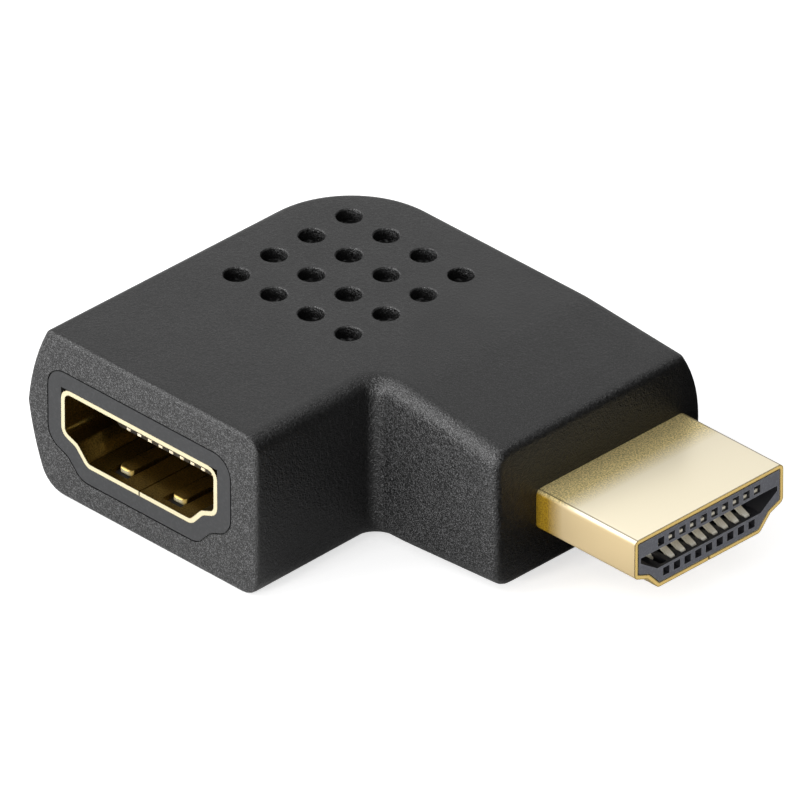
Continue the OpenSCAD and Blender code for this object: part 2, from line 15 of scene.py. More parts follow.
import bpy
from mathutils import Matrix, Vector

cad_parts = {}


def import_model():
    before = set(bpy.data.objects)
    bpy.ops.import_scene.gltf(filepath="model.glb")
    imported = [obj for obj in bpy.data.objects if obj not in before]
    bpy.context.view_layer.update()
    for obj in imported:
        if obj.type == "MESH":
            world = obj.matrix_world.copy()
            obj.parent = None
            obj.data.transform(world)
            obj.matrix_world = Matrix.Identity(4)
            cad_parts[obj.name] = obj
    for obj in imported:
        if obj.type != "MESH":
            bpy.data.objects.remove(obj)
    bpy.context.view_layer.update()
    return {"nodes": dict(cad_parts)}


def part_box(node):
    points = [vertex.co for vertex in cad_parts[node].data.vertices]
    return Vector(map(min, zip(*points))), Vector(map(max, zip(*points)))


Colour = tuple[float, float, float]
Span = tuple[float, float]
Triple = tuple[float, float, float]
NodeSocket = bpy.types.NodeSocket
Solids = dict[str, bpy.types.Object]

MM = 0.001
PLUG_REACH = 9.1 * MM
SHARP_ANGLE = 32.0
WELD_GAP = 0.0005 * MM
WHITE: Colour = (1.0, 1.0, 1.0)
DARK_HEADING: Triple = (0.75, 0.6, 0.1)
MOST_OF_NOISE: Span = (0.3, 0.7)
WHOLE: Span = (0.0, 1.0)
LOG = logging.getLogger("adapter")


class End(Enum):
    """The adapter's two connectors."""

    PLUG = "plug"
    SOCKET = "socket"


class Row(Enum):
    """The two rows of contacts in a connector, with how many each has."""

    UPPER = ("upper", 10)
    LOWER = ("lower", 9)


class Axis(Enum):
    """The part's axes, in the order of a vector's coordinates."""

    X = "X"
    Y = "Y"
    Z = "Z"


class Blend(Enum):
    """What a Mix node mixes: Blender's name for it, its two inputs and its output."""

    NUMBER = ("FLOAT", 2, 3, 0)
    COLOUR = ("RGBA", 6, 7, 2)


class NodeDesk:
    """A material's or world's node tree, with short calls that lay nodes down and join them."""

    COLUMN_WIDTH = 190
    EDGE_SAMPLES = 4
    EDGE_TURN: Span = (0.9, 0.99)

    def __init__(self, tree: bpy.types.NodeTree) -> None:
        """Clears the tree.

        Args:
            tree: the node tree to fill.
        """
        self.tree = tree
        self.column = 0
        tree.nodes.clear()

    def add(self, kind: str, **settings: object) -> bpy.types.Node:
        """Lays down one node.

        Args:
            kind: Blender's name for the node's type.
            settings: the node's own properties by name.

        Returns:
            The new node.
        """
        node = self.tree.nodes.new(kind)
        node.location = (self.column * self.COLUMN_WIDTH, 0)
        self.column += 1
        for name, value in settings.items():
            setattr(node, name, value)
        return node

    def join(self, source: NodeSocket, target: NodeSocket) -> None:
        """Links an output to an input."""
        self.tree.links.new(source, target)

    def place(self, kind: str = "Object") -> NodeSocket:
        """Gives the coordinates of the place that is shaded."""
        return self.add("ShaderNodeTexCoord").outputs[kind]

    def noise(self, place: NodeSocket, size: float, detail: float = 2.0) -> NodeSocket:
        """Adds a noise pattern.

        Args:
            place: the coordinates to draw it over.
            size: about how wide one blotch is, in metres.
            detail: how many finer layers lie over it.

        Returns:
            The pattern's value output, about 0 to 1.
        """
        node = self.add("ShaderNodeTexNoise")
        node.inputs["Scale"].default_value = 1.0 / size
        node.inputs["Detail"].default_value = detail
        self.join(place, node.inputs["Vector"])
        return node.outputs["Fac"]

    def spread(self, value: NodeSocket, low: float, high: float, span: Span = MOST_OF_NOISE) -> NodeSocket:
        """Stretches a pattern between two values, and no further.

        Args:
            value: the pattern to stretch.
            low: the result where the pattern is at the span's start.
            high: the result where the pattern is at the span's stop.
            span: the pattern's start and stop.

        Returns:
            The stretched value.
        """
        start, stop = span
        node = self.add("ShaderNodeMapRange")
        node.inputs["From Min"].default_value = start
        node.inputs["From Max"].default_value = stop
        node.inputs["To Min"].default_value = low
        node.inputs["To Max"].default_value = high
        self.join(value, node.inputs["Value"])
        return node.outputs["Result"]

    def rise(self, value: NodeSocket, span: Span = MOST_OF_NOISE) -> NodeSocket:
        """Stretches a pattern from 0 at a span's start to 1 at its stop."""
        return self.spread(value, 0.0, 1.0, span)

    def fall(self, value: NodeSocket, span: Span) -> NodeSocket:
        """Stretches a pattern from 1 at a span's start to 0 at its stop."""
        return self.spread(value, 1.0, 0.0, span)

    def flat(self, colour: Colour) -> NodeSocket:
        """Gives one colour everywhere.

        Args:
            colour: the colour.

        Returns:
            The colour output.
        """
        node = self.add("ShaderNodeRGB")
        node.outputs[0].default_value = (*colour, 1.0)
        return node.outputs[0]

    def tint(self, value: NodeSocket, low: Colour, high: Colour) -> NodeSocket:
        """Turns a pattern of 0 to 1 into a colour between two."""
        return self.blend(value, self.flat(low), self.flat(high))

    def blend(self, value: NodeSocket, low: NodeSocket, high: NodeSocket) -> NodeSocket:
        """Mixes two colours, by how much of the second there is."""
        return self.mix(value, low, high, Blend.COLOUR)

    def mix(self, value: NodeSocket, low: NodeSocket, high: NodeSocket,
            kind: Blend = Blend.NUMBER) -> NodeSocket:
        """Mixes two patterns or two colours.

        Args:
            value: how much of the second there is, 0 to 1.
            low: the first.
            high: the second.
            kind: what they are.

        Returns:
            The mixture.
        """
        data_type, first, second, result = kind.value
        node = self.add("ShaderNodeMix", data_type=data_type)
        self.join(value, node.inputs["Factor"])
        self.join(low, node.inputs[first])
        self.join(high, node.inputs[second])
        return node.outputs[result]

    def layer(self, value: NodeSocket, low: NodeSocket, high: NodeSocket) -> NodeSocket:
        """Mixes two shaders.

        Args:
            value: how much of the second there is, 0 to 1.
            low: the first shader.
            high: the second shader.

        Returns:
            The mixed shader.
        """
        node = self.add("ShaderNodeMixShader")
        self.join(value, node.inputs[0])
        self.join(low, node.inputs[1])
        self.join(high, node.inputs[2])
        return node.outputs[0]

    def combine(self, operation: str, first: NodeSocket, second: NodeSocket) -> NodeSocket:
        """Works two patterns into one.

        Args:
            operation: Blender's name for the sum that is done.
            first: the first pattern.
            second: the second pattern.

        Returns:
            The result.
        """
        node = self.add("ShaderNodeMath", operation=operation)
        self.join(first, node.inputs[0])
        self.join(second, node.inputs[1])
        return node.outputs[0]

    def times(self, *patterns: NodeSocket) -> NodeSocket:
        """Multiplies patterns."""
        return reduce(lambda first, second: self.combine("MULTIPLY", first, second), patterns)

    def coordinate(self, vector: NodeSocket, axis: Axis) -> NodeSocket:
        """Picks one coordinate of a vector.

        Args:
            vector: the vector.
            axis: the coordinate's axis.

        Returns:
            The coordinate.
        """
        node = self.add("ShaderNodeSeparateXYZ")
        self.join(vector, node.inputs[0])
        return node.outputs[axis.value]

    def facing(self, axis: Axis) -> NodeSocket:
        """Gives how much the surface faces along an axis, -1 to 1."""
        return self.coordinate(self.add("ShaderNodeNewGeometry").outputs["Normal"], axis)

    def along(self, place: NodeSocket, heading: Triple) -> NodeSocket:
        """Measures how far places lie along a heading.

        Args:
            place: the places or directions.
            heading: the way to measure.

        Returns:
            The measure.
        """
        node = self.add("ShaderNodeVectorMath", operation="DOT_PRODUCT")
        node.inputs[1].default_value = Vector(heading).normalized()
        self.join(place, node.inputs[0])
        return node.outputs["Value"]

    def away(self, place: NodeSocket, point: Triple) -> NodeSocket:
        """Measures how far places lie from a point.

        Args:
            place: the places.
            point: the point.

        Returns:
            The distance.
        """
        node = self.add("ShaderNodeVectorMath", operation="DISTANCE")
        node.inputs[1].default_value = point
        self.join(place, node.inputs[0])
        return node.outputs["Value"]

    def edges(self, width: float) -> NodeSocket:
        """Finds the solid's sharp edges.

        Args:
            width: how far from an edge still counts, in metres.

        Returns:
            1 at an edge, 0 away from all edges.
        """
        rounded = self.add("ShaderNodeBevel", samples=self.EDGE_SAMPLES)
        rounded.inputs["Radius"].default_value = width
        turn = self.add("ShaderNodeVectorMath", operation="DOT_PRODUCT")
        self.join(rounded.outputs["Normal"], turn.inputs[0])
        self.join(self.add("ShaderNodeNewGeometry").outputs["Normal"], turn.inputs[1])
        return self.fall(turn.outputs["Value"], self.EDGE_TURN)

    def bump(self, height: NodeSocket, depth: float, under: NodeSocket | None = None,
             strength: NodeSocket | None = None) -> NodeSocket:
        """Turns a pattern into relief.

        Args:
            height: the pattern, 0 to 1.
            depth: the relief from 0 to 1, in metres.
            under: the normal of relief that lies under this one.
            strength: how much of the relief there is, 0 to 1; all of it where this is left out.

        Returns:
            The normal output.
        """
        node = self.add("ShaderNodeBump")
        node.inputs["Strength"].default_value = 1.0
        node.inputs["Distance"].default_value = depth
        self.join(height, node.inputs["Height"])
        if under is not None:
            self.join(under, node.inputs["Normal"])
        if strength is not None:
            self.join(strength, node.inputs["Strength"])
        return node.outputs["Normal"]


def new_desk(name: str) -> tuple[bpy.types.Material, NodeDesk, bpy.types.Node]:
    """Makes a material with an empty Principled surface.

    Args:
        name: the material's name.

    Returns:
        The material, its desk and its Principled node.
    """
    material = bpy.data.materials.new(name)
    material.use_nodes = True
    desk = NodeDesk(material.node_tree)
    surface = desk.add("ShaderNodeBsdfPrincipled")
    output = desk.add("ShaderNodeOutputMaterial")
    desk.join(surface.outputs["BSDF"], output.inputs["Surface"])
    return material, desk, surface


def dimmed(colour: Colour, part: float) -> Colour:
    """Gives a darker shade of a colour."""
    return tuple(part * level for level in colour)


@dataclass(frozen=True, kw_only=True)
class MouldedPlastic:
    """A satin moulded plastic: a fine grain with paler flecks, a little blotchy in its gloss."""

    name: str
    shade: Colour
    dust: Colour
    gloss: float
    grain_size: float
    grain_depth: float
    fleck_part: float = 0.7
    fleck_span: Span = (0.48, 0.68)
    blotch_size: float = 3.0 * MM
    blotch_detail: float = 3.0
    gloss_swing: Span = (-0.03, 0.05)
    refraction: float = 1.5

    def make(self) -> bpy.types.Material:
        """Builds the finish.

        Returns:
            The material.
        """
        material, desk, surface = new_desk(self.name)
        place = desk.place()
        surface.inputs["IOR"].default_value = self.refraction
        desk.join(self.colour(desk, place), surface.inputs["Base Color"])
        desk.join(self.rough(desk, place), surface.inputs["Roughness"])
        desk.join(self.relief(desk, place), surface.inputs["Normal"])
        return material

    def flecks(self, desk: NodeDesk, place: NodeSocket) -> NodeSocket:
        """Gives the pale flecks, 0 to 1."""
        return desk.rise(desk.noise(place, self.grain_size * self.fleck_part), self.fleck_span)

    def blotches(self, desk: NodeDesk, place: NodeSocket) -> NodeSocket:
        """Gives the blotches of the gloss, about 0 to 1."""
        return desk.noise(place, self.blotch_size, self.blotch_detail)

    def colour(self, desk: NodeDesk, place: NodeSocket) -> NodeSocket:
        """Gives the colour, with its flecks."""
        return desk.tint(self.flecks(desk, place), self.shade, self.dust)

    def rough(self, desk: NodeDesk, place: NodeSocket) -> NodeSocket:
        """Gives the roughness, with its blotches."""
        low, high = (self.gloss + swing for swing in self.gloss_swing)
        return desk.spread(self.blotches(desk, place), low, high)

    def relief(self, desk: NodeDesk, place: NodeSocket) -> NodeSocket:
        """Gives the normal, with the grain's relief."""
        return desk.bump(desk.noise(place, self.grain_size), self.grain_depth)


@dataclass(frozen=True, kw_only=True)
class ErodedPlastic(MouldedPlastic):
    """The coarse plastic of a spark-eroded mould, with pits between its grains.

    Handling has smoothed what faces up. The walls that face the plug's way keep fewer pale flecks, which
    paints shade on them, and the floors of the dimples in its top carry painted glints.
    """

    pit_part: float = 2.6
    pit_detail: float = 1.0
    pit_span: Span = (0.4, 0.7)
    pit_depth_part: float = 0.35
    top_span: Span = (0.85, 0.99)
    top_relief: float = 0.3
    # On the walls that face the plug's way, fewer flecks paint shade.
    plugward_span: Span = (0.3, 0.9)
    painted_shade_dust: float = 0.1
    plugward_gloss: Span = (0.34, 0.42)
    dimple_heights: Span = (11.2 * MM, 12.1 * MM)
    dimple_fade: float = 0.1 * MM
    dimple_end: Span = (-1.0 * MM, 0.0)
    floor_span: Span = (0.9, 0.99)
    # Bright dots on the dimples' floors are painted glints.
    glint_size: float = 0.3 * MM
    glint_span: Span = (0.52, 0.68)
    glint_shade: Colour = (0.09, 0.09, 0.09)

    def grain_left(self, desk: NodeDesk) -> NodeSocket:
        """Gives how much of the grain is left, 0 to 1: all of it, or less on top."""
        return desk.spread(desk.facing(Axis.Z), 1.0, self.top_relief, self.top_span)

    def dust_and_painted_shade(self, desk: NodeDesk) -> NodeSocket:
        """Gives how many flecks are kept, 0 to 1: all, or fewer on the walls that face the plug's way, as
        painted shade.
        """
        return desk.spread(desk.facing(Axis.X), 1.0, self.painted_shade_dust, self.plugward_span)

    def flecks(self, desk: NodeDesk, place: NodeSocket) -> NodeSocket:
        """Gives the pale flecks, 0 to 1, fewer on top, and fewer as painted shade on the walls facing the
        plug's way.
        """
        return desk.times(super().flecks(desk, place), self.grain_left(desk), self.dust_and_painted_shade(desk))

    def colour(self, desk: NodeDesk, place: NodeSocket) -> NodeSocket:
        """Gives the colour, with painted glints on the dimples' floors."""
        return desk.blend(self.floors(desk, place), super().colour(desk, place), self.painted_glints(desk, place))

    def rough(self, desk: NodeDesk, place: NodeSocket) -> NodeSocket:
        """Gives the roughness, which differs on the walls that face the plug's way."""
        # Roughness on the walls that face the plug's way, whose colour has painted shade.
        sheltered = desk.spread(self.blotches(desk, place), *self.plugward_gloss)
        return desk.mix(self.dust_and_painted_shade(desk), sheltered, super().rough(desk, place))

    def relief(self, desk: NodeDesk, place: NodeSocket) -> NodeSocket:
        """Gives the normal, with grains and pits.

        Args:
            desk: the material's tree.
            place: places on the object.

        Returns:
            The normal output.
        """
        left = self.grain_left(desk)
        grains = desk.bump(desk.noise(place, self.grain_size), self.grain_depth, strength=left)
        pits = desk.rise(desk.noise(place, self.grain_size * self.pit_part, self.pit_detail), self.pit_span)
        return desk.bump(pits, self.grain_depth * self.pit_depth_part, grains, left)

    def floors(self, desk: NodeDesk, place: NodeSocket) -> NodeSocket:
        """Finds the floors of the dimples, by their height, their place along X and by facing up.

        Args:
            desk: the material's tree.
            place: places on the object.

        Returns:
            1 on a floor, 0 elsewhere.
        """
        low, high = self.dimple_heights
        height = desk.coordinate(place, Axis.Z)
        above = desk.rise(height, (low, low + self.dimple_fade))
        below = desk.fall(height, (high - self.dimple_fade, high))
        within = desk.fall(desk.coordinate(place, Axis.X), self.dimple_end)
        return desk.times(above, below, within, desk.rise(desk.facing(Axis.Z), self.floor_span))

    def painted_glints(self, desk: NodeDesk, place: NodeSocket) -> NodeSocket:
        """Gives the colour of those floors, with bright dots that are painted glints."""
        bright = desk.rise(desk.noise(place, self.glint_size), self.glint_span)
        return desk.tint(bright, self.shade, self.glint_shade)


@dataclass(frozen=True, kw_only=True)
class FrontedPlastic(MouldedPlastic):
    """A moulded plastic with painted shade inside its grooves, a pale front and a painted highlight on the
    edges round it.
    """

    # Painted shade inside the grooves.
    inside: Colour
    # A painted highlight on the front's edges.
    painted_highlight_rim: Colour
    front_span: Span = (0.4, 0.8)
    painted_highlight_width: float = 0.05 * MM

    def colour(self, desk: NodeDesk, place: NodeSocket) -> NodeSocket:
        """Gives the colour, by how much the surface faces the plug's way, with painted shade and a painted
        highlight.

        Args:
            desk: the material's tree.
            place: places on the object.

        Returns:
            The colour output.
        """
        front = desk.rise(desk.facing(Axis.X), self.front_span)
        fronted = desk.blend(front, desk.flat(self.inside), super().colour(desk, place))
        return desk.blend(desk.times(desk.edges(self.painted_highlight_width), front), fronted, desk.flat(self.painted_highlight_rim))


@dataclass(frozen=True, kw_only=True)
class GoldPlate:
    """Gold plating: deep and pebbled where it is sheltered, worn and smooth where it rubs, with painted light
    on what faces the pale way.

    Painted shade darkens its sharp edges, a painted dark reflection lies along the bend just off its flat
    top, and fine lines of the rolling run along one axis. Where it is worn, its colours run from shade to the
    painted highlight as it faces the pale way, and elsewhere from deep to band, the band's paleness being
    painted light too.
    """

    name: str
    # Painted highlight on what faces the pale way; shade is the colour of the rest.
    painted_highlight: Colour
    shade: Colour
    deep: Colour
    band: Colour
    # Painted shade along the sharp edges and seams.
    edge: Colour
    gloss: float
    deep_gloss: float
    worn_metal: float
    deep_metal: float
    line_depth: float
    pebble_depth: float
    edge_width: float
    rolling: Axis
    scuff_size: float = 1.4 * MM
    scuff_detail: float = 3.0
    scuff_least: float = 0.6
    line_size: float = 0.12 * MM
    line_detail: float = 3.0
    line_squeeze: float = 0.06
    pebble_size: float = 0.11 * MM
    pebble_span: Span = (0.35, 0.62)
    dull_deep: float = 0.5
    dull_band: float = 0.45
    worn_relief: float = 0.08
    bend_start: Span = (0.88, 0.93)
    bend_stop: Span = (0.95, 0.985)
    # The bend's darkening is a painted dark reflection.
    bend_painted_dark: float = 0.75

    def make(self) -> bpy.types.Material:
        """Builds the finish.

        Returns:
            The material.
        """
        material, desk, surface = new_desk(self.name)
        place = desk.place()
        pebble = desk.noise(place, self.pebble_size)
        worn, pale = self.wear_and_painted_light(desk, place)
        plated = desk.blend(worn, self.sheltered(desk, pebble, pale), self.rubbed_with_painted_light(desk, pale))
        desk.join(self.outlined(desk, plated), surface.inputs["Base Color"])
        desk.join(desk.spread(worn, self.deep_metal, self.worn_metal, WHOLE), surface.inputs["Metallic"])
        desk.join(desk.spread(worn, self.deep_gloss, self.gloss, WHOLE), surface.inputs["Roughness"])
        desk.join(self.relief(desk, place, pebble, worn), surface.inputs["Normal"])
        return material

    def wear_and_painted_light(self, desk: NodeDesk, place: NodeSocket) -> tuple[NodeSocket, NodeSocket]:
        """Says where the plating is worn and where light is painted on it.

        Args:
            desk: the material's tree.
            place: places on the object.

        Returns:
            How worn it is, and how much painted light it gets, both 0 to 1.
        """
        scuffs = desk.noise(place, self.scuff_size, self.scuff_detail)
        return desk.spread(scuffs, self.scuff_least, 1.0), desk.rise(desk.facing(Axis.Z))

    def rubbed_with_painted_light(self, desk: NodeDesk, pale: NodeSocket) -> NodeSocket:
        """Gives the colour where it rubs, with the painted highlight where it faces the pale way."""
        return desk.tint(pale, self.shade, self.painted_highlight)

    def sheltered(self, desk: NodeDesk, pebble: NodeSocket, pale: NodeSocket) -> NodeSocket:
        """Gives the colour where nothing rubs, paler as painted light where it faces the pale way.

        Args:
            desk: the material's tree.
            pebble: the pebbles' height.
            pale: how much painted light it gets.

        Returns:
            The colour output, dull between the pebbles.
        """
        dull = desk.tint(pale, dimmed(self.deep, self.dull_deep), dimmed(self.band, self.dull_band))
        return desk.blend(desk.rise(pebble, self.pebble_span), dull, desk.tint(pale, self.deep, self.band))

    def outlined(self, desk: NodeDesk, plated: NodeSocket) -> NodeSocket:
        """Paints shade along the sharp edges and a dark reflection along the bend just off the flat top.

        Args:
            desk: the material's tree.
            plated: the plating's colour.

        Returns:
            The colour output.
        """
        dark = desk.flat(self.edge)
        up = desk.facing(Axis.Z)
        bend = desk.times(desk.spread(up, 0.0, self.bend_painted_dark, self.bend_start),
                          desk.fall(up, self.bend_stop))
        return desk.blend(bend, desk.blend(desk.edges(self.edge_width), plated, dark), dark)

    def relief(self, desk: NodeDesk, place: NodeSocket, pebble: NodeSocket, worn: NodeSocket) -> NodeSocket:
        """Gives the normal, with the lines of the rolling under the pebbles.

        Args:
            desk: the material's tree.
            place: places on the object.
            pebble: the pebbles' height.
            worn: how worn the plating is.

        Returns:
            The normal output.
        """
        scale = [self.line_squeeze if axis is self.rolling else 1.0 for axis in Axis]
        squeezed = desk.add("ShaderNodeMapping")
        squeezed.inputs["Scale"].default_value = scale
        desk.join(place, squeezed.inputs["Vector"])
        lines = desk.noise(squeezed.outputs["Vector"], self.line_size, self.line_detail)
        left = desk.spread(worn, 1.0, self.worn_relief, WHOLE)
        return desk.bump(pebble, self.pebble_depth, desk.bump(lines, self.line_depth), left)


@dataclass(frozen=True, kw_only=True)
class PlugGold(GoldPlate):
    """The plug's plating, worn by the sockets that it went into, from a little way out of the housing."""

    # This colour is a painted highlight on the front edge.
    painted_highlight_rim: Colour
    root: float = 0.0
    top_band: Span = (2.0 * MM, 3.6 * MM)
    side_band: Span = (1.0 * MM, 2.4 * MM)
    top_span: Span = (0.35, 0.9)
    painted_front_span: Span = (0.8, 0.95)

    def wear_and_painted_light(self, desk: NodeDesk, place: NodeSocket) -> tuple[NodeSocket, NodeSocket]:
        """Says where the plating is worn and where light is painted on it.

        Args:
            desk: the material's tree.
            place: places on the object.

        Returns:
            How worn it is, from the root out, and how much it faces up, which gets painted light.
        """
        out = desk.coordinate(place, Axis.X)
        up = desk.rise(desk.facing(Axis.Z), self.top_span)
        side = desk.rise(out, self.from_root(self.side_band))
        top = desk.rise(out, self.from_root(self.top_band))
        return desk.mix(up, side, top), up

    def from_root(self, band: Span) -> Span:
        """Gives where a band that is measured from the root starts and stops along X."""
        return self.root + band[0], self.root + band[1]

    def rubbed_with_painted_light(self, desk: NodeDesk, pale: NodeSocket) -> NodeSocket:
        """Gives the colour where it rubs, with a painted highlight on the front edge."""
        front = desk.rise(desk.facing(Axis.X), self.painted_front_span)
        return desk.blend(front, super().rubbed_with_painted_light(desk, pale), desk.flat(self.painted_highlight_rim))


@dataclass(frozen=True, kw_only=True)
class SocketGold(GoldPlate):
    """The socket's plating: a painted highlight on what faces out of the mouth, and painted shade deep
    inside.
    """

    painted_lip_span: Span = (-0.2, -0.6)
    painted_highlight_span: Span = (-0.7, -0.97)

    def wear_and_painted_light(self, desk: NodeDesk, place: NodeSocket) -> tuple[NodeSocket, NodeSocket]:
        """Gives where the painted highlight lies and how pale it is, by how much it faces out of the mouth.
        """
        out = desk.facing(Axis.Y)
        return desk.rise(out, self.painted_lip_span), desk.rise(out, self.painted_highlight_span)


@dataclass(frozen=True, kw_only=True)
class SolderResist:
    """The green lacquer of a circuit board, with the weave of its glass cloth."""

    name: str
    shade: Colour
    deep: Colour
    gloss: float = 0.28
    blotch_size: float = 2.0 * MM
    weave_size: float = 0.4 * MM
    weave_depth: float = 0.01 * MM

    def make(self) -> bpy.types.Material:
        """Builds the finish.

        Returns:
            The material.
        """
        material, desk, surface = new_desk(self.name)
        place = desk.place()
        weave = desk.add("ShaderNodeTexChecker")
        weave.inputs["Scale"].default_value = 1.0 / self.weave_size
        desk.join(place, weave.inputs["Vector"])
        blotch = desk.rise(desk.noise(place, self.blotch_size))
        desk.join(desk.tint(blotch, self.deep, self.shade), surface.inputs["Base Color"])
        surface.inputs["Roughness"].default_value = self.gloss
        desk.join(desk.bump(weave.outputs["Fac"], self.weave_depth), surface.inputs["Normal"])
        return material


HOUSING_BLACK = ErodedPlastic(
    name="black_eroded_plastic", shade=(0.001, 0.001, 0.001), dust=(0.09, 0.09, 0.091), gloss=0.38,
    grain_size=0.11 * MM, grain_depth=0.06 * MM)
INNER_GREY = MouldedPlastic(
    name="grey_satin_plastic", shade=(0.016, 0.0165, 0.0175), dust=(0.024, 0.0245, 0.026), gloss=0.45,
    grain_size=0.3 * MM, grain_depth=0.002 * MM)
# Its inside colour is painted shade in the grooves, and its paler edges are a painted highlight.
PLUG_INSULATOR_GREY = FrontedPlastic(
    name="grey_insulator_plastic", shade=(0.11, 0.113, 0.128), dust=(0.15, 0.153, 0.17), gloss=0.4,
    grain_size=0.2 * MM, grain_depth=0.004 * MM, inside=(0.02, 0.02, 0.023), painted_highlight_rim=(0.3, 0.3, 0.32))
SOCKET_INSULATOR_BLACK = MouldedPlastic(
    name="black_insulator_plastic", shade=(0.012, 0.012, 0.013), dust=(0.018, 0.018, 0.02), gloss=0.4,
    grain_size=0.2 * MM, grain_depth=0.003 * MM)
# Its palest colour is painted light on what faces up, and its edge colour is painted shade.
CONTACT_GOLD = GoldPlate(
    name="contact_gold", painted_highlight=(0.95, 0.92, 0.82), shade=(0.95, 0.9, 0.75), deep=(0.85, 0.75, 0.5),
    band=(0.85, 0.75, 0.5), edge=(0.5, 0.42, 0.28), gloss=0.3, deep_gloss=0.32, worn_metal=0.2,
    deep_metal=0.5, line_depth=0.0004 * MM, pebble_depth=0.001 * MM, edge_width=0.02 * MM, rolling=Axis.X)
# Its palest colour is painted light on what faces up, its front edge gets a painted highlight, and its edge
# colour is painted shade.
PLUG_SHELL_GOLD = PlugGold(
    name="plug_shell_gold", painted_highlight=(0.93, 0.84, 0.63), shade=(0.53, 0.41, 0.225), deep=(0.4, 0.235, 0.012),
    band=(0.98, 0.8, 0.37), edge=(0.03, 0.012, 0.002), gloss=0.34, deep_gloss=0.42, worn_metal=0.3,
    deep_metal=0.4, line_depth=0.0002 * MM, pebble_depth=0.012 * MM, edge_width=0.14 * MM, rolling=Axis.X,
    painted_highlight_rim=(1.0, 0.72, 0.25))
# What faces out of the mouth gets a painted highlight, its deep colour paints shade inside, and its edge
# colour is painted shade.
SOCKET_SHELL_GOLD = SocketGold(
    name="socket_shell_gold", painted_highlight=(0.72, 0.65, 0.43), shade=(0.8, 0.58, 0.18), deep=(0.4, 0.26, 0.06),
    band=(0.4, 0.26, 0.06), edge=(0.1, 0.06, 0.015), gloss=0.3, deep_gloss=0.3, worn_metal=0.5,
    deep_metal=1.0, line_depth=0.0006 * MM, pebble_depth=0.002 * MM, edge_width=0.07 * MM, rolling=Axis.Y)
BOARD_GREEN = SolderResist(name="green_solder_resist", shade=(0.02, 0.13, 0.05), deep=(0.012, 0.09, 0.035))


def softener(name: str, angle: float) -> bpy.types.NodeTree:
    """Makes a node group that joins a solid's faces and shades them smooth, but for its sharp edges.

    Args:
        name: the group's name.
        angle: the least angle of a sharp edge, in degrees.

    Returns:
        The node group.
    """
    group = bpy.data.node_groups.new(name, "GeometryNodeTree")
    group.interface.new_socket("Geometry", in_out="INPUT", socket_type="NodeSocketGeometry")
    group.interface.new_socket("Geometry", in_out="OUTPUT", socket_type="NodeSocketGeometry")
    nodes = group.nodes
    start = nodes.new("NodeGroupInput")
    stop = nodes.new("NodeGroupOutput")
    bare = nodes.new("GeometryNodeRemoveAttribute")
    bare.inputs["Name"].default_value = "custom_normal"
    weld = nodes.new("GeometryNodeMergeByDistance")
    weld.inputs["Distance"].default_value = WELD_GAP
    faces = nodes.new("GeometryNodeSetShadeSmooth")
    faces.domain = "FACE"
    turn = nodes.new("GeometryNodeInputMeshEdgeAngle")
    limit = nodes.new("FunctionNodeCompare")
    limit.data_type = "FLOAT"
    limit.operation = "LESS_THAN"
    limit.inputs[1].default_value = math.radians(angle)
    edges = nodes.new("GeometryNodeSetShadeSmooth")
    edges.domain = "EDGE"
    links = group.links
    links.new(start.outputs[0], bare.inputs["Geometry"])
    links.new(bare.outputs["Geometry"], weld.inputs["Geometry"])
    links.new(weld.outputs["Geometry"], faces.inputs["Geometry"])
    links.new(faces.outputs["Geometry"], edges.inputs["Geometry"])
    links.new(turn.outputs["Unsigned Angle"], limit.inputs[0])
    links.new(limit.outputs["Result"], edges.inputs["Shade Smooth"])
    links.new(edges.outputs["Geometry"], stop.inputs[0])
    return group


@dataclass
class CarriedSolid:
    """A CAD solid that keeps its shape, with softened shading and a finish."""

    solid: bpy.types.Object
    finish: bpy.types.Material
    group: bpy.types.NodeTree

    def dress(self) -> None:
        """Puts the finish on and softens the shading."""
        self.solid.data.materials.clear()
        self.solid.data.materials.append(self.finish)
        modifier = self.solid.modifiers.new("softened", "NODES")
        modifier.node_group = self.group
        LOG.info("dressed %s in %s", self.solid.name, self.finish.name)


@dataclass
class Housing:
    """The black L-shaped moulding with its inner moulding."""

    outer: MouldedPlastic = HOUSING_BLACK
    inner: MouldedPlastic = INNER_GREY

    def dress(self, nodes: Solids, group: bpy.types.NodeTree) -> None:
        """Dresses both mouldings."""
        CarriedSolid(nodes["overmould"], self.outer.make(), group).dress()
        CarriedSolid(nodes["premould"], self.inner.make(), group).dress()


@dataclass
class Connector:
    """One connector: its folded shell, its insulator and its contacts."""

    end: End
    shell: GoldPlate
    contact: bpy.types.Material
    insulator: MouldedPlastic

    def dress(self, nodes: Solids, group: bpy.types.NodeTree) -> None:
        """Dresses the connector's solids.

        Args:
            nodes: the CAD solids by name.
            group: the softener.
        """
        name = self.end.value
        CarriedSolid(nodes[f"{name}_shell"], self.shell.make(), group).dress()
        CarriedSolid(nodes[f"{name}_insulator"], self.insulator.make(), group).dress()
        for row in Row:
            label, count = row.value
            for i in range(1, count + 1):
                CarriedSolid(nodes[f"{name}_{label}_contact_{i}"], self.contact, group).dress()


@dataclass
class Board:
    """The circuit board inside the mouldings."""

    finish: SolderResist = BOARD_GREEN

    def dress(self, nodes: Solids, group: bpy.types.NodeTree) -> None:
        """Dresses the board."""
        CarriedSolid(nodes["circuit_board"], self.finish.make(), group).dress()


def put(name: str, data: bpy.types.ID) -> bpy.types.Object:
    """Adds an object to the scene.

    Args:
        name: the object's name.
        data: its mesh, lamp or camera.

    Returns:
        The object.
    """
    thing = bpy.data.objects.new(name, data)
    bpy.context.scene.collection.objects.link(thing)
    LOG.info("added %s", name)
    return thing


